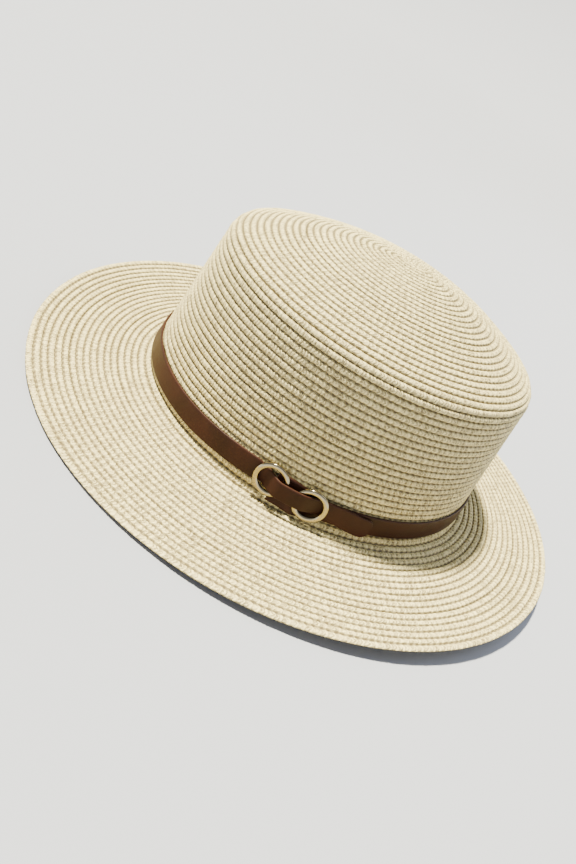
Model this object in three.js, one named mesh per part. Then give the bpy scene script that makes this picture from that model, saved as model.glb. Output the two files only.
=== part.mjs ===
// A round straw hat with a domed crown, a wide brim and a narrow leather hatband
// that is closed through two metal rings. Millimetres, +Z up, the brim on z = 0.
// Looking along +Y, the rings are on the near side, a little left of the middle.
import * as THREE from "three";

// Head opening: half length and half breadth of the crown's outside at its foot.
const FOOT_HALF_X = 97.6;
const FOOT_HALF_Y = 87.4;
const STRAW = 1.9;

// Crown: height of the crest above the foot, how far the wall leans in on the way up,
// and how far the whole tip stands off centre.
const CREST_H = 88.8;
const LEAN_X = 7.3;
const LEAN_Y = 2.1;
const TIP_SHIFT_X = 0.8;
const TIP_SHIFT_Y = -1.0;
const CREST_R = 10.0;
const DOME_H = 21.0;
const DOME_POWER = 1.9;
const TIP_FLAT = 9.0;

// Brim: mean width, how much wider it is at the sides of Y than of X, and its wave.
const BRIM_W = 61.3;
const BRIM_SKEW = 1.6;
const TURN_R = 4.0;
const BRIM_FALL = 0.13;
const BRIM_RISE = 0.135;
const WAVE_TILT_X = 2.2;
const WAVE_TILT_Y = 2.2;
const WAVE_TWIST = 2.3;

// The crown sits on the top row of the brim's turn, behind the hatband.
const JOINT_Z = 9.0;
const SEAM_GAP = 0.3;

// Hatband: one strap. It climbs towards the rings, drops behind them and levels out again.
// BAND_GAP is its stand-off from the straw, CLEAR the gap where strap and rings meet.
const STRAP_W = 11.0;
const STRAP_T = 1.3;
const STRAP_EDGE = 0.35;
const STRAP_Z = 11.2;
const STRAP_CLIMB = 1.6;
const STRAP_FALL = 3.0;
const BAND_GAP = 0.45;
const CLEAR = 0.3;

// The narrow part of the strap that runs through the rings, and its loose end.
const TAB_W = 8.7;
const TAB_Z = 11.9;
const TAIL_DROP = 3.5;
const TAIL_AT = 289.8;
const TAIL_ROUND = 3.4;

// Rings: radius to the middle of the wire, the wire's width and thickness, and their places.
const RING_R = 7.55;
const WIRE_W = 2.7;
const WIRE_T = 2.2;
const RING_LEFT_AT = 257.9;
const RING_LEFT_Z = 13.2;
const RING_RIGHT_AT = 270.3;
const RING_RIGHT_Z = 11.2;

const AROUND = 72;
const HALF_TURN = Math.PI;
const WALL_H = CREST_H - CREST_R;

// A point outside (offset > 0) or inside an oval, at a given angle.
function onOval(halfX, halfY, offset, angle) {
  const c = Math.cos(angle);
  const s = Math.sin(angle);
  const length = Math.hypot(halfY * c, halfX * s) || 1;
  return [halfX * c + (offset * halfY * c) / length, halfY * s + (offset * halfX * s) / length];
}

// The oval of the upright wall at a height above the foot.
function wallOval(height) {
  const up = height / WALL_H;
  return {
    halfX: FOOT_HALF_X - LEAN_X * up,
    halfY: FOOT_HALF_Y - LEAN_Y * up,
    shift: up,
    height,
  };
}

// Height of the brim's upper side above the foot, a distance out from the turn.
function brimHeight(distance, angle) {
  const q = distance / (BRIM_W - TURN_R);
  const bow = -BRIM_FALL * distance + BRIM_RISE * distance * q;
  const tilt = WAVE_TILT_X * Math.cos(angle) + WAVE_TILT_Y * Math.sin(angle);
  return bow + q * tilt - q * q * WAVE_TWIST * Math.sin(2 * angle);
}

// Height of the foot above the floor, so that the lowest part of the brim touches it.
function footHeight() {
  let lowest = 0;
  for (let i = 0; i < AROUND; i++) {
    for (let q = 0; q <= 1; q += 0.1) {
      const angle = (2 * HALF_TURN * i) / AROUND;
      lowest = Math.min(lowest, brimHeight(q * (BRIM_W - TURN_R), angle));
    }
  }
  return STRAW - lowest;
}
const FOOT_Z = footHeight();

// A point on an oval of the hat. shift is the share of the tip's stand off centre.
function hatPoint({ halfX, halfY, offset = 0, shift = 0, height }, angle) {
  const [x, y] = onOval(halfX, halfY, offset, angle);
  const z = typeof height === "function" ? height(angle) : height;
  return new THREE.Vector3(x + TIP_SHIFT_X * shift, y + TIP_SHIFT_Y * shift, FOOT_Z + z);
}

// One closed loop of points around the crown or brim.
function ovalLoop(row) {
  const loop = [];
  for (let i = 0; i < AROUND; i++) loop.push(hatPoint(row, (2 * HALF_TURN * i) / AROUND));
  return loop;
}

// A closed skin over a row of loops: joined end to end, or capped at both ends.
function skin(loops, joined) {
  const count = loops[0].length;
  const points = loops.flat();
  const faces = [];
  const spans = joined ? loops.length : loops.length - 1;
  for (let i = 0; i < spans; i++) {
    const here = i * count;
    const next = ((i + 1) % loops.length) * count;
    for (let j = 0; j < count; j++) {
      const k = (j + 1) % count;
      faces.push(here + j, here + k, next + k);
      faces.push(here + j, next + k, next + j);
    }
  }
  if (!joined) {
    for (const [start, flip] of [[0, true], [(loops.length - 1) * count, false]]) {
      const centre = new THREE.Vector3();
      for (let j = 0; j < count; j++) centre.addScaledVector(points[start + j], 1 / count);
      points.push(centre);
      for (let j = 0; j < count; j++) {
        const k = (j + 1) % count;
        faces.push(points.length - 1, start + (flip ? k : j), start + (flip ? j : k));
      }
    }
  }
  const geometry = new THREE.BufferGeometry().setFromPoints(points);
  geometry.setIndex(faces);
  geometry.computeVertexNormals();
  return geometry;
}

function piece(name, geometry, colour, metalness, roughness) {
  const material = new THREE.MeshStandardMaterial({ color: colour, metalness, roughness });
  const mesh = new THREE.Mesh(geometry, material);
  mesh.name = name;
  return mesh;
}

// Crown profile from the joint up to the tip, as half sizes and heights of ovals.
function crownOutside() {
  const rows = [];
  const wallFrom = JOINT_Z + SEAM_GAP;
  for (const z of [wallFrom, (wallFrom + WALL_H) / 2, WALL_H]) rows.push(wallOval(z));
  const topX = FOOT_HALF_X - LEAN_X - CREST_R;
  const topY = FOOT_HALF_Y - LEAN_Y - CREST_R;
  const edgeSlope = Math.atan((DOME_H * DOME_POWER) / Math.sqrt(topX * topY));
  for (let i = 1; i <= 5; i++) {
    const turn = ((HALF_TURN / 2 - edgeSlope) * i) / 5;
    const out = CREST_R * Math.cos(turn);
    const height = WALL_H + CREST_R * Math.sin(turn);
    rows.push({ halfX: topX + out, halfY: topY + out, shift: 1, height });
  }
  const rim = rows[rows.length - 1];
  for (const share of [0.85, 0.7, 0.55, 0.4, 0.25, TIP_FLAT / rim.halfY]) {
    const inset = rim.halfY * (1 - share);
    const halfX = rim.halfX - inset;
    const halfY = rim.halfY - inset;
    const closeness = Math.sqrt((halfX * halfY) / (rim.halfX * rim.halfY));
    const height = rim.height + DOME_H * (1 - closeness ** DOME_POWER);
    rows.push({ halfX, halfY, shift: 1, height });
  }
  return rows;
}

// The inside of a profile: each oval moved in by the thickness of the straw.
function insideOf(rows) {
  return rows.map((row, i) => {
    const before = rows[Math.max(i - 1, 0)];
    const after = rows[Math.min(i + 1, rows.length - 1)];
    const rise = i === rows.length - 1 ? 0 : after.height - before.height;
    const run = i === 0 ? 0 : before.halfY - after.halfY;
    const length = Math.hypot(rise, run);
    const inset = (STRAW * rise) / length;
    return {
      halfX: row.halfX - inset,
      halfY: row.halfY - inset,
      shift: row.shift,
      height: row.height - (STRAW * run) / length,
    };
  });
}

function crown() {
  const outside = crownOutside();
  const loops = [...insideOf(outside).reverse(), ...outside].map(ovalLoop);
  return piece("crown", skin(loops, false), 0xe3dab6, 0, 0.8);
}

// Brim: a short upright collar, the rounded turn, then the wide brim and back underneath.
function brimSide(depth) {
  const rows = [];
  for (const z of [JOINT_Z, TURN_R]) rows.push({ ...wallOval(z), offset: -depth });
  for (let i = 1; i <= 4; i++) {
    const turn = (HALF_TURN / 2) * (i / 4);
    const offset = TURN_R - (TURN_R + depth) * Math.cos(turn);
    const height = TURN_R - (TURN_R + depth) * Math.sin(turn);
    rows.push({ halfX: FOOT_HALF_X, halfY: FOOT_HALF_Y, offset, height });
  }
  for (let i = 1; i <= 8; i++) {
    const distance = ((BRIM_W - TURN_R) * i) / 8;
    const skew = (BRIM_SKEW * i) / 8;
    rows.push({
      halfX: FOOT_HALF_X - skew,
      halfY: FOOT_HALF_Y + skew,
      offset: TURN_R + distance,
      height: (angle) => brimHeight(distance, angle) - depth,
    });
  }
  return rows;
}

function brim() {
  const upper = brimSide(0);
  const under = brimSide(STRAW).reverse();
  const loops = [...upper, ...under].map(ovalLoop).reverse();
  return piece("brim", skin(loops, true), 0xeee4c4, 0, 0.8);
}

// A smooth step from 0 to 1 between two angles.
function ease(from, to, at) {
  const x = Math.min(Math.max((at - from) / (to - from), 0), 1);
  return x * x * (3 - 2 * x);
}

// The strap's path: middle of its thickness out from the crown.
const FLAT_OUT = BAND_GAP + STRAP_T / 2;
const TAB_OUT = FLAT_OUT + STRAP_T + WIRE_T + 3.2 * CLEAR;
const TAIL_OUT = FLAT_OUT + STRAP_T + CLEAR;

// Half the angle in which the strap rises through one ring or sinks through the other.
const THREADING = 3.2;

// Middle height of the strap above the foot, at an angle of the first lap.
function bandHeight(at) {
  const climb = STRAP_CLIMB * ease(225, RING_LEFT_AT, at);
  const fall = STRAP_FALL * ease(RING_LEFT_AT + 3, RING_RIGHT_AT + 6, at);
  const back = (STRAP_FALL - STRAP_CLIMB) * ease(300, 350, at);
  return STRAP_Z + climb - fall + back;
}

// Where the strap lies at an angle counted from the first ring through nearly two laps.
function strapAt(degrees) {
  const at = degrees - 360;
  const up = ease(RING_LEFT_AT - THREADING, RING_LEFT_AT + THREADING, at);
  const down = ease(RING_RIGHT_AT - THREADING, RING_RIGHT_AT + THREADING, at);
  const tail = ease(RING_RIGHT_AT + 4, TAIL_AT, at);
  const level = bandHeight(degrees > 360 ? at : degrees);
  const pinch = ease(RING_LEFT_AT - 6, RING_LEFT_AT - 2, at);
  const release = ease(RING_RIGHT_AT + 4, RING_RIGHT_AT + 12, at);
  return {
    out: FLAT_OUT + (TAB_OUT - FLAT_OUT) * up - (TAB_OUT - TAIL_OUT) * down,
    height: level + (TAB_Z - level) * up - TAIL_DROP * tail,
    width: STRAP_W - (STRAP_W - TAB_W) * (pinch - release),
  };
}

function strapPoint(degrees, rise = 0) {
  const { out, height } = strapAt(degrees);
  const row = { ...wallOval(height + rise), offset: out };
  return hatPoint(row, THREE.MathUtils.degToRad(degrees));
}

// How much the strap's half width is cut back by its rounded end, a distance before it.
function endCut(distance) {
  const inside = Math.max(TAIL_ROUND - distance, 0);
  return TAIL_ROUND - Math.sqrt(TAIL_ROUND ** 2 - inside ** 2);
}

// The strap's section, square to its path and leaning with the crown, with eased corners.
function strapLoop(degrees) {
  const centre = strapPoint(degrees);
  const along = strapPoint(degrees + 0.2).sub(strapPoint(degrees - 0.2)).normalize();
  const lean = strapPoint(degrees, 1).sub(centre);
  const out = along.clone().cross(lean).normalize();
  const up = out.clone().cross(along).normalize();
  const beforeEnd = centre.distanceTo(strapPoint(360 + TAIL_AT));
  const t = STRAP_T / 2;
  const w = strapAt(degrees).width / 2 - (degrees > 360 ? endCut(beforeEnd) : 0);
  const e = STRAP_EDGE;
  const corners = [
    [-t, w - e], [e - t, w], [t - e, w], [t, w - e],
    [t, e - w], [t - e, -w], [e - t, -w], [-t, e - w],
  ];
  return corners.map(([r, h]) => centre.clone().addScaledVector(out, r).addScaledVector(up, h));
}

function hatband() {
  const starts = RING_LEFT_AT + 1.2;
  const bends = 360 + RING_LEFT_AT - 8;
  const rounds = 360 + TAIL_AT - 2;
  const ends = 360 + TAIL_AT;
  const stations = [starts];
  for (const [until, count] of [[bends, 64], [rounds, 42], [ends, 4]]) {
    const from = stations[stations.length - 1];
    for (let i = 1; i <= count; i++) stations.push(from + ((until - from) * i) / count);
  }
  return piece("hatband", skin(stations.map(strapLoop), false), 0x5a3420, 0, 0.55);
}

// A round ring of slightly flattened wire, lying on the strap and turned a little off it.
function ring(name, { degrees, height, out, tilt }) {
  const angle = THREE.MathUtils.degToRad(degrees);
  const centre = hatPoint({ ...wallOval(height), offset: out }, angle);
  const further = hatPoint({ ...wallOval(height), offset: out + 1 }, angle);
  const lean = hatPoint({ ...wallOval(height + 1), offset: out }, angle).sub(centre).normalize();
  const side = lean.clone().cross(further.sub(centre)).normalize();
  const normal = side.clone().cross(lean);
  const geometry = new THREE.TorusGeometry(RING_R, WIRE_W / 2, 10, 36);
  geometry.scale(1, 1, WIRE_T / WIRE_W);
  geometry.rotateY(-tilt);
  geometry.applyMatrix4(new THREE.Matrix4().makeBasis(side, lean, normal));
  geometry.translate(centre.x, centre.y, centre.z);
  return piece(name, geometry, 0xcdb992, 1, 0.3);
}

// One layer of strap runs under the left ring, and two under the far side of the right one.
const RING_OUT = BAND_GAP + STRAP_T + CLEAR + WIRE_T / 2;
const RIGHT_LIFT = STRAP_T + CLEAR;
const LEFT_RING = { degrees: RING_LEFT_AT, height: RING_LEFT_Z, out: RING_OUT, tilt: 0 };
const RIGHT_RING = {
  degrees: RING_RIGHT_AT,
  height: RING_RIGHT_Z,
  out: RING_OUT + RIGHT_LIFT / 2,
  tilt: Math.atan(RIGHT_LIFT / (2 * RING_R)),
};

const hat = new THREE.Group();
hat.add(crown());
hat.add(brim());
hat.add(hatband());
hat.add(ring("ring_left", LEFT_RING));
hat.add(ring("ring_right", RIGHT_RING));

export default hat;
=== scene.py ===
# %% [markdown]
# # A straw hat with a buckled leather band
# The hat is sewn from one long plaited straw braid, laid row on row: round the tip of the
# crown, down its side and out over the brim. A narrow leather strap goes round the foot of
# the crown and is closed through two plain metal rings.
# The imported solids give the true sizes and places, so they are loaded first.

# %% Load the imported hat
import math
from bisect import bisect_right
import bmesh
import bpy
from mathutils import Matrix, Vector, noise


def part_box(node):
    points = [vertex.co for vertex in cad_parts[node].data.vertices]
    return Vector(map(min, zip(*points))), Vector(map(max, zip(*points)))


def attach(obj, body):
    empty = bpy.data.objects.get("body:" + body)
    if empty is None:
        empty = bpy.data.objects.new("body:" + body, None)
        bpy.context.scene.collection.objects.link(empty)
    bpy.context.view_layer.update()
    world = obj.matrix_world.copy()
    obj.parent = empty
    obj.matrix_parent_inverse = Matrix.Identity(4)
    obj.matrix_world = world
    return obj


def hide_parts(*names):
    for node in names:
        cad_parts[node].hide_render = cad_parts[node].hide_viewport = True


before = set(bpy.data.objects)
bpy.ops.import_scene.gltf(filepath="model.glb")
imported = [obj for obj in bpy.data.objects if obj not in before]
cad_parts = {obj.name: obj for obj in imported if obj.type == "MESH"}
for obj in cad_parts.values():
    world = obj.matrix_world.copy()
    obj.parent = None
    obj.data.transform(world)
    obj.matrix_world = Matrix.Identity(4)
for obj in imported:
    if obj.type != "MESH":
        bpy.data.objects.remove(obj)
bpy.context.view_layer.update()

MM = 0.001
print("nodes:", sorted(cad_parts))

# %% [markdown]
# ## Camera
# The photograph was taken from close by, a little above the brim, with the camera rolled, so
# the hat leans in the picture. The picture is a crop, so the lens axis isn't in its middle:
# a small lens shift puts it back. A camera looks down its own -Z, so its turn is built from
# the direction to the hat and then rolled about that axis.

# %% Camera
PICTURE = (576, 864)
AXIS_PIXEL = (351.2, 358.2)
FOCAL_PIXELS = 756.6
CAMERA_AZIMUTH = math.radians(-12.54)
CAMERA_HEIGHT = math.radians(23.64)
CAMERA_ROLL = math.radians(-32.53)
CAMERA_DISTANCE = 414.2 * MM
AIM = Vector((0, 0, 52.8 * MM))
SENSOR = 36.0

camera = bpy.data.objects.new("camera", bpy.data.cameras.new("camera"))
bpy.context.scene.collection.objects.link(camera)
back = Vector((
    math.sin(CAMERA_AZIMUTH) * math.cos(CAMERA_HEIGHT),
    -math.cos(CAMERA_AZIMUTH) * math.cos(CAMERA_HEIGHT),
    math.sin(CAMERA_HEIGHT),
))
right = Vector((math.cos(CAMERA_AZIMUTH), math.sin(CAMERA_AZIMUTH), 0))
turn = Matrix((right, back.cross(right), back)).transposed()
camera.matrix_world = (
    Matrix.Translation(AIM + back * CAMERA_DISTANCE)
    @ turn.to_4x4()
    @ Matrix.Rotation(-CAMERA_ROLL, 4, "Z")
)
camera.data.lens = FOCAL_PIXELS / max(PICTURE) * SENSOR
camera.data.sensor_width = SENSOR
camera.data.shift_x = (PICTURE[0] / 2 - AXIS_PIXEL[0]) / max(PICTURE)
camera.data.shift_y = (AXIS_PIXEL[1] - PICTURE[1] / 2) / max(PICTURE)
camera.data.clip_start = 0.01
bpy.context.scene.camera = camera
print("camera stands", [round(c, 3) for c in camera.location], "lens", round(camera.data.lens, 1))

# %% [markdown]
# ## Light
# A steep, warm key light from the left gives the hat its bright top and brim and the crescent
# of shade to the right of the crown. The sky is kept low and a little cooler, so the side of
# the crown that faces the camera lies in open shade. A soft, cool fill light from behind on the
# right opens the crescent and leaves that side alone.

# %% Light
KEY_TOWARDS = Vector((-28, 7, 82)).normalized()
KEY_POWER, KEY_COLOUR, KEY_SOFT = 23.5, (1.0, 0.925, 0.67), math.radians(4.5)
FILL_AT, FILL_SIZE = Vector((0.75, 0.4, 0.85)), 0.9
FILL_POWER, FILL_COLOUR = 9.0, (0.84, 0.93, 1.0)
SKY_POWER, SKY_COLOUR = 0.5, (0.90, 0.95, 1.0, 1)


def add_light(name, kind, power, colour, towards):
    light = bpy.data.objects.new(name, bpy.data.lights.new(name, kind))
    light.data.energy = power
    light.data.color = colour
    light.rotation_euler = towards.to_track_quat("Z", "Y").to_euler()
    bpy.context.scene.collection.objects.link(light)
    return light


key = add_light("key", "SUN", KEY_POWER, KEY_COLOUR, KEY_TOWARDS)
key.data.angle = KEY_SOFT
fill = add_light("fill", "AREA", FILL_POWER, FILL_COLOUR, FILL_AT - AIM)
fill.data.size = FILL_SIZE
fill.location = FILL_AT

sky = bpy.data.worlds.new("sky")
bpy.context.scene.world = sky
sky.use_nodes = True
sky.node_tree.nodes["Background"].inputs["Color"].default_value = SKY_COLOUR
sky.node_tree.nodes["Background"].inputs["Strength"].default_value = SKY_POWER
print("key light from", [round(c, 2) for c in KEY_TOWARDS])

# %% [markdown]
# ## Floor
# The floor is a wide pale sweep: flat under the hat, then curving up all round, so that no
# horizon shows. It is a grid whose rows become circles, each further out than the last.

# %% Floor
SWEEP_FLAT = 5.0
SWEEP_R = 5.0
SWEEP_ROUND, SWEEP_RINGS = 96, 48

bm = bmesh.new()
bmesh.ops.create_grid(bm, x_segments=SWEEP_ROUND, y_segments=SWEEP_RINGS, size=0.5)
for vert in bm.verts:
    angle = 2 * math.pi * (vert.co.x + 0.5)
    walk = (vert.co.y + 0.5) * (SWEEP_FLAT + SWEEP_R * math.pi / 2)
    bend = max(walk - SWEEP_FLAT, 0.0) / SWEEP_R
    radius = min(walk, SWEEP_FLAT) + SWEEP_R * math.sin(bend)
    vert.co = (radius * math.cos(angle), radius * math.sin(angle), SWEEP_R * (1 - math.cos(bend)))
bmesh.ops.remove_doubles(bm, verts=bm.verts, dist=1e-5)
floor = bpy.data.objects.new("floor", bpy.data.meshes.new("floor"))
bm.to_mesh(floor.data)
bm.free()
floor.data.polygons.foreach_set("use_smooth", [True] * len(floor.data.polygons))
bpy.context.scene.collection.objects.link(floor)
print("floor faces:", len(floor.data.polygons))

# %% [markdown]
# ## Helpers for finishes
# Each finish is a small network of nodes. These helpers add a node, feed its inputs and
# return its output, so a finish reads from top to bottom.

# %% Node helpers
class Finish:
    """A material and short ways to add nodes to it."""

    def __init__(self, name):
        self.material = bpy.data.materials.new(name)
        self.material.use_nodes = True
        self.tree = self.material.node_tree
        self.shader = self.tree.nodes["Principled BSDF"]

    def feed(self, socket, value):
        if isinstance(value, bpy.types.NodeSocket):
            self.tree.links.new(value, socket)
        else:
            socket.default_value = value

    def add(self, kind, settings=None, output=0, **inputs):
        """Adds a node. Its inputs are named, or numbered as i0, i1 and so on."""
        node = self.tree.nodes.new(kind)
        for name, value in (settings or {}).items():
            setattr(node, name, value)
        for name, value in inputs.items():
            numbered = name[0] == "i" and name[1:].isdigit()
            self.feed(node.inputs[int(name[1:]) if numbered else name], value)
        return node.outputs[output]

    def math(self, operation, a, b=0.0, c=0.0):
        return self.add("ShaderNodeMath", {"operation": operation}, i0=a, i1=b, i2=c)

    def step(self, value, low, high, start=0.0, end=1.0):
        return self.add(
            "ShaderNodeMapRange", {"interpolation_type": "SMOOTHSTEP"},
            i0=value, i1=low, i2=high, i3=start, i4=end,
        )

    def mix(self, share, a, b):
        node = self.tree.nodes.new("ShaderNodeMix")
        node.data_type = "RGBA"
        self.feed(node.inputs[0], share)
        self.feed(node.inputs[6], a)
        self.feed(node.inputs[7], b)
        return node.outputs[2]

    def place(self):
        return self.add("ShaderNodeTexCoord", output=3)

    def own_map(self, name):
        node = self.tree.nodes.new("ShaderNodeSeparateXYZ")
        self.feed(node.inputs[0], self.add("ShaderNodeUVMap", {"uv_map": name}))
        return node.outputs[0], node.outputs[1]

    def join(self, x, y):
        return self.add("ShaderNodeCombineXYZ", X=x, Y=y)

    def noise(self, vector, scale, detail=2.0):
        return self.add("ShaderNodeTexNoise", Vector=vector, Scale=scale, Detail=detail)

    def bump(self, height, distance):
        return self.add("ShaderNodeBump", Height=height, Distance=distance)

    def surface(self, **values):
        names = {"colour": "Base Color", "roughness": "Roughness", "normal": "Normal",
                 "metal": "Metallic", "specular": "Specular IOR Level"}
        for name, value in values.items():
            self.feed(self.shader.inputs[names[name]], value)
        return self.material


print("node helpers ready")

# %% [markdown]
# ## Straw pattern
# The braid is plaited paper straw. In each row two chains of slanted strands meet in the
# middle, with a small hole at every crossing, and a dashed groove parts the rows. Shade is
# painted into the grooves, the holes and the gaps between strands.
# The map of each straw piece counts crossings along the row and rows across, so the pattern
# draws one crossing and repeats it. A little noise in the map keeps it from looking printed.

# %% Straw pattern
CROSSING = 3.3
ROW_PITCH = 3.4965
SLANT = 0.7
DASH_WIDE, DASH_NARROW, DASH_FAINT = 0.38, 0.22, 0.62
# strength of the painted shade in the gaps between strands
GAP_SHADE = 0.75
RAG_SCALE, RAG_ALONG, RAG_EDGE, RAG_HOLE = 480.0, 0.8, 0.16, 1.1


def straw_dent_and_painted_shade(f, along, across, twist, ragged):
    """Painted shade between strands, as a mask that also serves as a dent: grooves between rows, holes at
    crossings, gaps in the plait.
    """
    from_groove = f.math("PINGPONG", across, 0.5)
    from_middle = f.math("SUBTRACT", 0.5, from_groove)
    from_crossing = f.math("PINGPONG", along, 0.5)
    uneven = f.math("MULTIPLY", ragged, RAG_EDGE)

    # painted shade in the dashed groove between rows
    dash = f.step(from_crossing, 0.05, 0.4, DASH_WIDE, DASH_NARROW)
    groove = f.step(f.math("ADD", from_groove, uneven), 0.05, dash, 1.0, 0.0)
    groove = f.math("MULTIPLY", groove, f.step(from_crossing, 0.1, 0.45, 1.0, DASH_FAINT))

    # painted shade in the hole at each crossing
    reach = f.math("SQRT", f.math(
        "ADD", f.math("POWER", f.math("MULTIPLY", from_crossing, CROSSING), 2.0),
        f.math("POWER", f.math("MULTIPLY", from_middle, ROW_PITCH * 0.8), 2.0),
    ))
    crossing = f.join(f.math("ROUND", along), f.math("FLOOR", across))
    open_hole = f.add("ShaderNodeTexWhiteNoise", Vector=crossing)
    hole = f.step(f.math("MULTIPLY_ADD", ragged, RAG_HOLE, reach), 0.2, 0.8, 1.0, 0.0)
    hole = f.math("MULTIPLY", hole, f.math("MULTIPLY_ADD", open_hole, 0.7, 0.2))

    # painted shade in the gaps between slanted strands
    from_gap = f.math("PINGPONG", twist, 0.5)
    gap = f.step(f.math("ADD", from_gap, uneven), 0.02, 0.32, GAP_SHADE, 0.0)
    patchy = f.step(f.noise(f.place(), 260.0), 0.35, 0.65, 0.3, 1.0)
    return f.math("MAXIMUM", f.math("MAXIMUM", groove, hole), f.math("MULTIPLY", gap, patchy))


print("a crossing every", CROSSING, "mm, a row every", ROW_PITCH, "mm")

# %% [markdown]
# ## Straw finish
# Each strand gets its own tone of straw, with slow clouds over the whole hat and fine fibres
# along the strand. The pattern's painted shade is laid over it, and the same mask also presses
# the surface in.

# %% Straw finish
STRAW_LIGHT = (0.82, 0.71, 0.345, 1)
STRAW_DEEP = (0.44, 0.355, 0.18, 1)
# near-black colour of the painted shade in grooves, holes and gaps
STRAW_GROOVE_SHADE = (0.085, 0.061, 0.032, 1)
STRAND_SHARE, CLOUD_SHARE, FIBRE_SHARE = 0.45, 0.25, 0.4
FIBRES_ALONG, FIBRES_ACROSS = 6.0, 5.0


def straw_finish():
    f = Finish("plaited straw")
    along, across = f.own_map("braid")
    ragged = f.math("SUBTRACT", f.noise(f.place(), RAG_SCALE), 0.5)
    along = f.math("MULTIPLY_ADD", ragged, RAG_ALONG, along)
    from_middle = f.math("SUBTRACT", 0.5, f.math("PINGPONG", across, 0.5))
    twist = f.math("MULTIPLY_ADD", from_middle, 2 * SLANT, f.math("MULTIPLY", along, 2.0))
    dent_and_painted_shade = straw_dent_and_painted_shade(f, along, across, twist, ragged)

    strand = f.join(f.math("FLOOR", twist), f.math("FLOOR", f.math("MULTIPLY", across, 2.0)))
    tint = f.add("ShaderNodeTexWhiteNoise", Vector=strand)
    cloud = f.noise(f.place(), 35.0)
    fibre = f.noise(f.join(
        f.math("MULTIPLY", along, FIBRES_ALONG), f.math("MULTIPLY", across, FIBRES_ACROSS),
    ), 1.0, 3.0)
    shade = f.math("ADD", f.math("MULTIPLY", tint, STRAND_SHARE), f.math("MULTIPLY", cloud, CLOUD_SHARE))
    shade = f.math("MULTIPLY_ADD", f.step(fibre, 0.3, 0.7), FIBRE_SHARE, shade)
    colour = f.mix(shade, STRAW_DEEP, STRAW_LIGHT)
    height = f.math("SUBTRACT", f.math("MULTIPLY", fibre, 0.35), dent_and_painted_shade)
    # painted shade: the straw is darkened in the grooves, holes and gaps
    return f.surface(
        colour=f.mix(f.math("MULTIPLY", dent_and_painted_shade, 0.92), colour, STRAW_GROOVE_SHADE),
        roughness=f.step(tint, 0.0, 1.0, 0.55, 0.8), normal=f.bump(height, 0.5 * MM), specular=0.35,
    )


straw = straw_finish()
print("made", straw.name)

# %% [markdown]
# ## Sizes of the crown and brim
# The crown is an oval that leans in a little to a rounded crest and then a low dome. The brim
# turns out from its foot and waves slightly. The sizes are those of the solids, in millimetres,
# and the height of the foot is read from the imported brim.

# %% Sizes of the crown and brim
FOOT_HALF_X, FOOT_HALF_Y = 97.6, 87.4
STRAW_WALL = 1.9
HALF_WALL = STRAW_WALL / 2
CREST_H, CREST_R = 88.8, 10.0
LEAN_X, LEAN_Y = 7.3, 2.1
TIP_SHIFT_X, TIP_SHIFT_Y = 0.8, -1.0
DOME_H, DOME_POWER = 21.0, 1.9
BRIM_W, BRIM_SKEW, TURN_R = 61.3, 1.6, 4.0
BRIM_FALL, BRIM_RISE = 0.13, 0.135
WAVE_TILT_X, WAVE_TILT_Y, WAVE_TWIST = 2.2, 2.2, 2.3
JOINT_Z, SEAM_GAP = 9.0, 0.3
WALL_H = CREST_H - CREST_R
FOOT_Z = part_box("brim")[1].z / MM - JOINT_Z
print("the crown's foot is at", round(FOOT_Z, 2), "mm and its wall is", WALL_H, "mm high")

# %% [markdown]
# ## The crown's path
# The crown is described by a walk from the joint up to the tip, with the half sizes of the oval
# and the height at each distance, so that rows of braid can be laid at an even pitch.

# %% The crown's path
WALL_STEPS, CREST_STEPS, DOME_STEPS = 30, 16, 120


def wall_oval(height):
    """Half sizes of the upright wall and its share of the tip's shift, at a height."""
    up = height / WALL_H
    return FOOT_HALF_X - LEAN_X * up, FOOT_HALF_Y - LEAN_Y * up, up


def crown_path():
    """Half sizes, height and shift from the joint to the tip, with the distance to each."""
    path = []
    for i in range(WALL_STEPS + 1):
        z = JOINT_Z + SEAM_GAP + (WALL_H - JOINT_Z - SEAM_GAP) * i / WALL_STEPS
        half_x, half_y, up = wall_oval(z)
        path.append((half_x, half_y, z, up))
    top_x, top_y = FOOT_HALF_X - LEAN_X - CREST_R, FOOT_HALF_Y - LEAN_Y - CREST_R
    edge = math.atan(DOME_H * DOME_POWER / math.sqrt(top_x * top_y))
    for i in range(1, CREST_STEPS + 1):
        bend = (math.pi / 2 - edge) * i / CREST_STEPS
        out = CREST_R * math.cos(bend)
        path.append((top_x + out, top_y + out, WALL_H + CREST_R * math.sin(bend), 1.0))
    rim_x, rim_y, rim_z, _ = path[-1]
    for i in range(1, DOME_STEPS + 1):
        half_y = rim_y * (1 - i / DOME_STEPS)
        half_x = rim_x - rim_y + half_y
        near = math.sqrt(half_x * half_y / (rim_x * rim_y))
        path.append((half_x, half_y, rim_z + DOME_H * (1 - near ** DOME_POWER), 1.0))
    walked = [0.0]
    for a, b in zip(path, path[1:]):
        walked.append(walked[-1] + math.hypot(b[1] - a[1], b[2] - a[2]))
    return path, walked


CROWN_PATH, CROWN_WALKED = crown_path()
CROWN_WALK = CROWN_WALKED[-1]
print("the crown's walk is", round(CROWN_WALK, 1), "mm")

# %% [markdown]
# ## Points on the crown
# A point is found from how far round the hat it is, how far along the walk, and how far it
# stands out from the surface. The upright wall also has a plain form by height, which the brim's
# collar, the strap and the rings use.

# %% Points on the crown
def on_oval(half_x, half_y, out, angle):
    c, s = math.cos(angle), math.sin(angle)
    length = math.hypot(half_y * c, half_x * s) or 1.0
    return half_x * c + out * half_y * c / length, half_y * s + out * half_x * s / length


def wall_point(height, out, angle):
    half_x, half_y, up = wall_oval(height)
    x, y = on_oval(half_x, half_y, out, angle)
    return Vector((x + TIP_SHIFT_X * up, y + TIP_SHIFT_Y * up, FOOT_Z + height))


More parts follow.
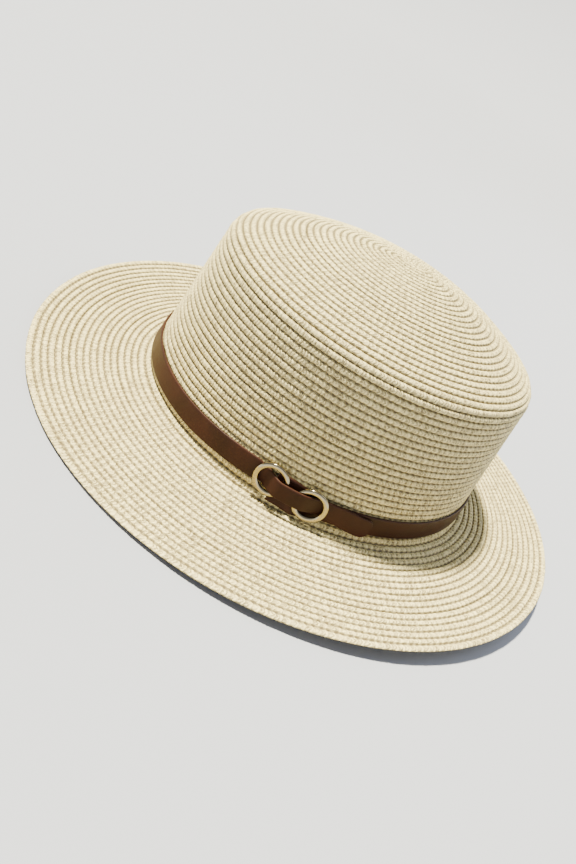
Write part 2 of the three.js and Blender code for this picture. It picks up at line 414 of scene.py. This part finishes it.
def crown_point(turned, walk, out):
    i = min(max(bisect_right(CROWN_WALKED, walk) - 1, 0), len(CROWN_WALKED) - 2)
    a, b = CROWN_PATH[i], CROWN_PATH[i + 1]
    span = CROWN_WALKED[i + 1] - CROWN_WALKED[i]
    share = min(max((walk - CROWN_WALKED[i]) / span, 0.0), 1.0)
    half_x, half_y, z, up = (a[k] + (b[k] - a[k]) * share for k in range(4))
    rise, run = (b[2] - a[2]) / span, (a[1] - b[1]) / span
    if walk > CROWN_WALK - 0.01:
        rise, run = 0.0, 1.0
    x, y = on_oval(half_x, half_y, out * rise, 2 * math.pi * turned)
    return Vector((x + TIP_SHIFT_X * up, y + TIP_SHIFT_Y * up, FOOT_Z + z + out * run)) * MM


print("the tip is at", round(crown_point(0.0, CROWN_WALK, 0.0).z / MM, 2), "mm")

# %% [markdown]
# ## Points on the brim
# The brim's walk goes down the upright collar, round the turn, out over the waved flat part and
# round the outer edge.

# %% Points on the brim
COLLAR = JOINT_Z - TURN_R
TURN_WALK = TURN_R * math.pi / 2
FLAT_WALK = BRIM_W - TURN_R - HALF_WALL
BRIM_WALK = COLLAR + TURN_WALK + FLAT_WALK
EDGE_WALK = HALF_WALL * math.pi


def brim_height(distance, angle):
    q = distance / (BRIM_W - TURN_R)
    bow = -BRIM_FALL * distance + BRIM_RISE * distance * q
    tilt = WAVE_TILT_X * math.cos(angle) + WAVE_TILT_Y * math.sin(angle)
    return bow + q * tilt - q * q * WAVE_TWIST * math.sin(2 * angle)


def brim_point(turned, walk, out):
    angle = 2 * math.pi * turned
    if walk < COLLAR:
        return wall_point(JOINT_Z - walk, out, angle) * MM
    if walk < COLLAR + TURN_WALK:
        bend = (walk - COLLAR) / TURN_R
        offset = TURN_R - (TURN_R - out) * math.cos(bend)
        x, y = on_oval(FOOT_HALF_X, FOOT_HALF_Y, offset, angle)
        return Vector((x, y, FOOT_Z + TURN_R - (TURN_R - out) * math.sin(bend))) * MM
    distance = min(walk - COLLAR - TURN_WALK, FLAT_WALK)
    bend = max(walk - BRIM_WALK, 0.0) / HALF_WALL
    skew = BRIM_SKEW * distance / FLAT_WALK
    offset = TURN_R + distance + (HALF_WALL + out) * math.sin(bend)
    z = brim_height(distance, angle) - HALF_WALL + (HALF_WALL + out) * math.cos(bend)
    x, y = on_oval(FOOT_HALF_X - skew, FOOT_HALF_Y + skew, offset, angle)
    return Vector((x, y, FOOT_Z + z)) * MM


print("the brim's walk is", round(BRIM_WALK, 1), "mm")

# %% [markdown]
# ## Relief of the braid
# Each row is a rounded ridge. The strands bump along it, slanting to both sides, and sink in a
# little where they cross. The rows wander slowly and the surface is a little uneven, because
# the braid is guided by hand while it is sewn. Near the crest the ridges stand out more.

# %% Relief of the braid
RIDGE, RIDGE_POWER, RIDGE_SUNK = 0.90, 0.65, 0.7
CREST_AT, CREST_REACH, CREST_DEEPER = 75.0, 10.0, 0.5
STRAND, HOLE, INSIDE_RIDGE = 0.27, 0.25, 0.35
WANDER, WANDER_ROUND, WANDER_ALONG = 0.22, 5, 0.21
DRIFT, DRIFT_FINER = 0.14, 2
RAGGED, RAGGED_FINER = 0.16, 17
STEADY_WITHIN, TIP_WITHIN = 6, 2.5
CROWN_SPAN = (0.0, CROWN_WALK)


def relief(count, part, deeper):
    """How far the braid stands out at a place: ridge, strand bumps and crossing holes."""
    side = abs(2 * part - 1)
    body = max(1 - side * side, 0.0)
    ridge = RIDGE * (1 + deeper) * (body ** RIDGE_POWER - RIDGE_SUNK)
    strand = -STRAND * body * math.cos(2 * math.pi * (2 * count + SLANT * side))
    hole = HOLE * max(0.0, math.cos(2 * math.pi * count)) ** 2 * max(0.0, 1 - 2.2 * side)
    return ridge + strand - hole


def straw_place(point, turned, station, count, span):
    """A point of the braid, with its slow wander from the true row."""
    walk, across, inside = station
    part = across - math.floor(across)
    low, high = span
    steady = min(1.0, max(0.0, (walk - low) / STEADY_WITHIN), max(0.0, (high - walk) / STEADY_WITHIN))
    angle = 2 * math.pi * turned
    way = Vector((WANDER_ROUND * math.cos(angle), WANDER_ROUND * math.sin(angle), walk * WANDER_ALONG))
    walk += steady * WANDER * noise.noise(way)
    if inside:
        return point(turned, walk, steady * INSIDE_RIDGE * -math.sin(math.pi * part) - STRAW_WALL)
    near_crest = max(0.0, 1 - abs(walk - CREST_AT) / CREST_REACH) if span is CROWN_SPAN else 0.0
    out = relief(count, part, CREST_DEEPER * near_crest)
    out += DRIFT * noise.noise(way * DRIFT_FINER) + RAGGED * noise.noise(way * RAGGED_FINER)
    if span is CROWN_SPAN:
        out *= min(1.0, max(0.0, (high - walk) / TIP_WITHIN))
    return point(turned, walk, out)


print("a row stands out", round(relief(0.25, 0.5, 0) - relief(0.25, 0, 0), 2), "mm from its grooves")

# %% [markdown]
# ## Laying the braid
# A flat grid is the easiest thing to lay as braid: one direction runs round the hat, and the
# other follows a profile out over the rows and back along the inside. The points are moved onto
# the hat, and the map is scaled to count crossings and rows. Each row's crossings are shifted
# against its neighbours', so that they don't line up.

# %% Laying the braid
PARTS = (0.0, 0.14, 0.36, 0.64, 0.86)
STAGGER, STAGGER_ROWS = 0.37, 7


def outside_rows(edges):
    """Stations over the rows, each as walk, rows counted across, and inside or not."""
    stations = []
    for row, (start, end) in enumerate(zip(edges, edges[1:])):
        stations += [(start + (end - start) * part, row + part, False) for part in PARTS]
    return stations + [(edges[-1], len(edges) - 1.0, False)]


def inside_rows(edges):
    stations = []
    for row, (start, end) in enumerate(zip(edges, edges[1:])):
        stations += [(start, float(row), True), ((start + end) / 2, row + 0.5, True)]
    stations.append((edges[-1], len(edges) - 1.0, True))
    return stations[::-1]


def girth(point, walk):
    ring = [point(i / 36, walk, 0.0) for i in range(37)]
    return sum((b - a).length for a, b in zip(ring, ring[1:])) / MM


def stagger(row):
    return STAGGER * (row % STAGGER_ROWS)


def lay_grid(bm, point, span, around, stations, first_row):
    """Adds one grid that is wrapped round the hat along its stations."""
    uv = bm.loops.layers.uv.verify()
    last = len(stations) - 1
    cells = {}
    for walk, across, _ in stations:
        cells.setdefault(int(across), max(5, round(girth(point, walk) / CROSSING)))
    made = bmesh.ops.create_grid(bm, x_segments=around, y_segments=last, size=0.5, calc_uvs=True)["verts"]
    for face in {face for vert in made for face in vert.link_faces}:
        ends = [round(loop[uv].uv.y * last) for loop in face.loops]
        row = int(min(stations[i][1] for i in ends))
        for loop, i in zip(face.loops, ends):
            along = loop[uv].uv.x * cells[row] + stagger(row + first_row)
            loop[uv].uv = (along, stations[i][1] + first_row)
    for vert in made:
        turned = vert.co.x + 0.5
        station = stations[round((vert.co.y + 0.5) * last)]
        row = int(station[1])
        count = turned * cells[row] + stagger(row + first_row)
        vert.co = straw_place(point, turned, station, count, span)


print("each row has", len(PARTS), "stations on the outside and 2 inside")

# %% [markdown]
# ## Finishing a piece
# Where a grid meets itself its points are merged, which leaves one closed wall. Its faces are
# turned outwards and shaded smooth, except over the sharp edges where a stretch of rows ends.
# Then the piece is tied to the hat: it rides on the hat's one body, and the solid it stands for is
# hidden.

# %% Finishing a piece
SHARP = math.radians(55)


def finish_piece(name, bm, material, node):
    bmesh.ops.remove_doubles(bm, verts=bm.verts, dist=1e-6)
    bmesh.ops.recalc_face_normals(bm, faces=bm.faces)
    for edge in bm.edges:
        edge.smooth = edge.calc_face_angle(0.0) < SHARP
    mesh = bpy.data.meshes.new(name)
    bm.to_mesh(mesh)
    bm.free()
    mesh.polygons.foreach_set("use_smooth", [True] * len(mesh.polygons))
    mesh.materials.append(material)
    piece = bpy.data.objects.new(name, mesh)
    bpy.context.scene.collection.objects.link(piece)
    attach(piece, "root")
    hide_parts(node)
    print(name, sum(len(p.vertices) - 2 for p in mesh.polygons), "triangles")


def straw_piece(name, node, point, span, around, edges, first_row):
    """One closed stretch of rows, from the first edge to the last."""
    bm = bmesh.new()
    bm.loops.layers.uv.new("braid")
    profile = outside_rows(edges) + inside_rows(edges)
    lay_grid(bm, point, span, around, profile + profile[:1], first_row)
    finish_piece(name, bm, straw, node)


print("edges over", round(math.degrees(SHARP)), "degrees stay sharp")

# %% [markdown]
# ## Crown side
# The rows of the side start at the joint behind the band and end at the crest. They are kept in
# two stretches, one above the other, so that neither gets too heavy.

# %% Crown side
FIRST_ROW = 2.6
WHOLE_ROWS = 46
SIDE_SPLIT, CREST_ROW, TOP_SPLIT = 10, 20, 32
SIDE_AROUND, TOP_AROUND, TIP_AROUND = 1080, 800, 420
CROWN_EDGES = [0.0] + [FIRST_ROW + ROW_PITCH * k for k in range(WHOLE_ROWS)] + [CROWN_WALK]

for name, around, start, end in (
    ("crown_side_low", SIDE_AROUND, 0, SIDE_SPLIT),
    ("crown_side_high", SIDE_AROUND, SIDE_SPLIT, CREST_ROW),
):
    straw_piece(name, "crown", crown_point, CROWN_SPAN, around, CROWN_EDGES[start:end + 1], start)

# %% [markdown]
# ## Crown top
# The top goes from the crest to the coil's middle, where the last row closes on a short line,
# because the coil starts as a fold. The outside and the inside are two grids that share the
# outer edge; each closes on that line by itself.

# %% Crown top
straw_piece(
    "crown_top_ring", "crown", crown_point, CROWN_SPAN, TOP_AROUND,
    CROWN_EDGES[CREST_ROW:TOP_SPLIT + 1], CREST_ROW,
)

TIP_EDGES = CROWN_EDGES[TOP_SPLIT:]
bm = bmesh.new()
bm.loops.layers.uv.new("braid")
outer = outside_rows(TIP_EDGES)
inner = inside_rows(TIP_EDGES) + outer[:1]
lay_grid(bm, crown_point, CROWN_SPAN, TIP_AROUND, outer, TOP_SPLIT)
lay_grid(bm, crown_point, CROWN_SPAN, TIP_AROUND, inner, TOP_SPLIT)
finish_piece("crown_top_tip", bm, straw, "crown")

# %% [markdown]
# ## Brim
# The brim starts with the upright collar that the band hides, turns out, and ends in a last row
# that is simply folded round the edge: no binding covers it.

# %% Brim
BRIM_PITCH = 3.44
LAST_ROW = 3.9
BRIM_SPAN = (0.0, BRIM_WALK + EDGE_WALK)
BRIM_EDGES = [BRIM_WALK + HALF_WALL - LAST_ROW, BRIM_WALK + EDGE_WALK / 2]
while BRIM_EDGES[0] - BRIM_PITCH > 1.0:
    BRIM_EDGES.insert(0, BRIM_EDGES[0] - BRIM_PITCH)
BRIM_EDGES.insert(0, 0.0)

for name, around, start, end in (
    ("brim_inner", 1100, 0, 7),
    ("brim_middle", 1300, 7, 14),
    ("brim_outer", 1560, 14, len(BRIM_EDGES) - 1),
):
    straw_piece(name, "brim", brim_point, BRIM_SPAN, around, BRIM_EDGES[start:end + 1], start)

# %% [markdown]
# ## Leather finish
# The strap is smooth brown leather: a fine pebbled grain, slow changes of brown, and edges a
# little lighter than the face, partly where the dye wears and partly as a painted highlight
# along the cut edges. The strap's map runs once round its section, with the two thin edges a
# quarter turn from the middle of each face.

# %% Leather finish
LEATHER_BROWN = (0.029, 0.0092, 0.0052, 1)
LEATHER_DEEP = (0.019, 0.0060, 0.0035, 1)
# worn dye and a painted highlight along the edges
LEATHER_WEAR_AND_HIGHLIGHT = (0.055, 0.024, 0.012, 1)
GRAIN_SCALE = 1500.0


def leather_finish():
    f = Finish("brown leather")
    _, across = f.own_map("strap")
    slow = f.noise(f.place(), 60.0, 3.0)
    grain = f.add("ShaderNodeTexVoronoi", {"feature": "F1"}, Vector=f.place(), Scale=GRAIN_SCALE)
    colour = f.mix(f.step(slow, 0.35, 0.7), LEATHER_DEEP, LEATHER_BROWN)
    from_edge = f.math("PINGPONG", f.math("ADD", across, 0.25), 0.5)
    # lighter edges: worn dye and a painted highlight, on both thin edges alike
    wear_and_highlight = f.step(f.math("MULTIPLY_ADD", slow, 0.04, from_edge), 0.46, 0.53, 0.0, 0.5)
    return f.surface(
        colour=f.mix(wear_and_highlight, colour, LEATHER_WEAR_AND_HIGHLIGHT), roughness=f.step(slow, 0.3, 0.7, 0.40, 0.55),
        normal=f.bump(grain, 0.05 * MM), specular=0.12,
    )


leather = leather_finish()
print("made", leather.name)

# %% [markdown]
# ## The strap's path
# One strap goes all round and overlaps itself at the rings: it comes up through the first ring,
# over the metal between the two holes, down through the second, and its rounded end lies on the
# layer below. It leans with the wall of the crown, climbs a little towards the rings and drops
# behind them. Places along it are angles round the hat, and its second layer counts on past 360.

# %% The strap's path
STRAP_W, STRAP_T, STRAP_Z = 11.0, 1.3, 11.2
STRAP_CLIMB, CLIMB_FROM = 1.6, 225
STRAP_FALL, LEVEL_FROM, LEVEL_AGAIN = 3.0, 300, 350
BAND_GAP, CLEAR = 0.45, 0.3
TAB_W, TAB_Z = 8.7, 11.9
TAIL_AT, TAIL_DROP, TAIL_ROUND = 289.8, 3.5, 3.4
RING_R, WIRE_W, WIRE_T = 7.55, 2.7, 2.2
RING_LEFT_AT, RING_LEFT_Z = 257.9, 13.2
RING_RIGHT_AT, RING_RIGHT_Z = 270.3, 11.2
THREADING = 3.2
FLAT_OUT = BAND_GAP + STRAP_T / 2
TAB_OUT = FLAT_OUT + STRAP_T + WIRE_T + 3.2 * CLEAR
TAIL_OUT = FLAT_OUT + STRAP_T + CLEAR


def ease(start, end, at):
    x = min(max((at - start) / (end - start), 0.0), 1.0)
    return x * x * (3 - 2 * x)


def band_height(at):
    climb = STRAP_CLIMB * ease(CLIMB_FROM, RING_LEFT_AT, at)
    fall = STRAP_FALL * ease(RING_LEFT_AT + 3, RING_RIGHT_AT + 6, at)
    level_again = (STRAP_FALL - STRAP_CLIMB) * ease(LEVEL_FROM, LEVEL_AGAIN, at)
    return STRAP_Z + climb - fall + level_again


def strap_at(degrees):
    """Out from the crown, height and width of the strap at an angle round the hat."""
    at = degrees - 360
    up = ease(RING_LEFT_AT - THREADING, RING_LEFT_AT + THREADING, at)
    down = ease(RING_RIGHT_AT - THREADING, RING_RIGHT_AT + THREADING, at)
    tail = ease(RING_RIGHT_AT + 4, TAIL_AT, at)
    level = band_height(at if degrees > 360 else degrees)
    pinch = ease(RING_LEFT_AT - 6, RING_LEFT_AT - 2, at)
    release = ease(RING_RIGHT_AT + 4, RING_RIGHT_AT + 12, at)
    out = FLAT_OUT + (TAB_OUT - FLAT_OUT) * up - (TAB_OUT - TAIL_OUT) * down
    width = STRAP_W - (STRAP_W - TAB_W) * (pinch - release)
    return out, level + (TAB_Z - level) * up - TAIL_DROP * tail, width


def strap_point(degrees, rise=0.0):
    out, height, _ = strap_at(degrees)
    return wall_point(height + rise, out, math.radians(degrees))


print("the strap lies", round(FLAT_OUT, 2), "to", round(TAB_OUT, 2), "mm out from the crown")

# %% [markdown]
# ## Hatband
# A grid becomes a short flat tube with rounded edges that follows the path. Half of its stations
# are spent on the last part, where the strap threads the rings and ends. The hidden first end
# hangs a little lower and looser under the rings, which shows as a dark strip below them.

# %% Hatband
STRAP_START = RING_LEFT_AT + 1.2
STRAP_BENDS = 360 + RING_LEFT_AT - 8
STRAP_END = 360 + TAIL_AT
STATIONS, SECTION = 480, 28
MAP_LENGTH = 60
EDGE_POWER, FACE_POWER = 0.22, 0.5
HANG, HANG_OUT = 5.0, 1.8
HANG_FROM, HANG_TO = 267, 276


def strap_degrees(share):
    if share < 0.5:
        return STRAP_START + (STRAP_BENDS - STRAP_START) * 2 * share
    return STRAP_BENDS + (STRAP_END - STRAP_BENDS) * (2 * share - 1)


def strap_place(share, section):
    degrees = strap_degrees(share)
    centre = strap_point(degrees)
    along = (strap_point(degrees + 0.2) - strap_point(degrees - 0.2)).normalized()
    out = along.cross(strap_point(degrees, 1.0) - centre).normalized()
    up = out.cross(along)
    half_w = strap_at(degrees)[2] / 2
    if degrees > 360:
        inside = max(TAIL_ROUND - (strap_point(STRAP_END) - centre).length, 0.0)
        half_w -= TAIL_ROUND - math.sqrt(TAIL_ROUND ** 2 - inside ** 2)
    c, s = math.cos(section), math.sin(section)
    across = math.copysign(abs(s) ** EDGE_POWER, s) * half_w
    thick = math.copysign(abs(c) ** FACE_POWER, c) * STRAP_T / 2
    hang = (1 - ease(HANG_FROM, HANG_TO, degrees)) * max(-across / half_w, 0.0)
    across -= HANG * hang
    thick += HANG_OUT * hang * hang
    return (centre + out * thick + up * across) * MM


bm = bmesh.new()
uv = bm.loops.layers.uv.new("strap")
bmesh.ops.create_grid(bm, x_segments=STATIONS, y_segments=SECTION, size=0.5, calc_uvs=True)
for vert in bm.verts:
    section = round((vert.co.y + 0.5) * SECTION) % SECTION
    vert.co = strap_place(vert.co.x + 0.5, 2 * math.pi * section / SECTION)
for face in bm.faces:
    for loop in face.loops:
        loop[uv].uv = (loop[uv].uv.x * MAP_LENGTH, loop[uv].uv.y)
bmesh.ops.remove_doubles(bm, verts=bm.verts, dist=1e-6)
bmesh.ops.holes_fill(bm, edges=[e for e in bm.edges if e.is_boundary], sides=0)
finish_piece("hatband_strap", bm, leather, "hatband")

# %% [markdown]
# ## Gold finish
# The rings are polished, pale gold metal with very fine wear.

# %% Gold finish
GOLD = (0.33, 0.285, 0.19, 1)


def gold_finish():
    f = Finish("pale gold metal")
    slow = f.noise(f.place(), 300.0, 4.0)
    rough = f.step(slow, 0.3, 0.75, 0.08, 0.16)
    return f.surface(colour=GOLD, metal=1.0, roughness=rough, normal=f.bump(slow, 0.02 * MM))


gold = gold_finish()
print("made", gold.name)

# %% [markdown]
# ## Rings
# Two plain rings of slightly flattened wire. A circle spun round an axis is the natural way to
# make a ring; the finished ring is then set up on the strap, leaning with the crown. The right
# one also lies on the end of the strap, so it stands a little further out and tilts.

# %% Rings
WIRE_SIDES, RING_STEPS = 24, 80
RING_OUT = BAND_GAP + STRAP_T + CLEAR + WIRE_T / 2
RIGHT_LIFT = STRAP_T + CLEAR


def ring(name, degrees, height, out, tilt, node):
    angle = math.radians(degrees)
    centre = wall_point(height, out, angle)
    lean = (wall_point(height + 1, out, angle) - centre).normalized()
    side = lean.cross(wall_point(height, out + 1, angle) - centre).normalized()
    stand = Matrix((side, lean, side.cross(lean))).transposed().to_4x4()
    bm = bmesh.new()
    wire = bmesh.ops.create_circle(bm, segments=WIRE_SIDES, radius=WIRE_W / 2 * MM)["verts"]
    bmesh.ops.scale(bm, verts=wire, vec=(1, WIRE_T / WIRE_W, 1))
    bmesh.ops.rotate(bm, verts=wire, cent=(0, 0, 0), matrix=Matrix.Rotation(math.pi / 2, 3, "X"))
    bmesh.ops.translate(bm, verts=wire, vec=(RING_R * MM, 0, 0))
    bmesh.ops.spin(
        bm, geom=bm.verts[:] + bm.edges[:], cent=(0, 0, 0), axis=(0, 0, 1),
        angle=2 * math.pi, steps=RING_STEPS, use_merge=True,
    )
    bm.transform(Matrix.Translation(centre * MM) @ stand @ Matrix.Rotation(-tilt, 4, "Y"))
    finish_piece(name, bm, gold, node)


ring("ring_left_wire", RING_LEFT_AT, RING_LEFT_Z, RING_OUT, 0.0, "ring_left")
ring(
    "ring_right_wire", RING_RIGHT_AT, RING_RIGHT_Z, RING_OUT + RIGHT_LIFT / 2,
    math.atan(RIGHT_LIFT / (2 * RING_R)), "ring_right",
)

# %% [markdown]
# ## Floor finish
# Plain, pale and matt, so nothing competes with the hat. It is a touch cooler than white, to
# balance the warm key light.

# %% Floor finish
FLOOR_DARK = (0.29, 0.307, 0.38, 1)
FLOOR_LIGHT = (0.295, 0.312, 0.385, 1)

f = Finish("pale floor")
cloud = f.noise(f.place(), 3.0)
floor.data.materials.append(f.surface(colour=f.mix(cloud, FLOOR_DARK, FLOOR_LIGHT), roughness=0.9))
print("made", floor.data.materials[0].name)
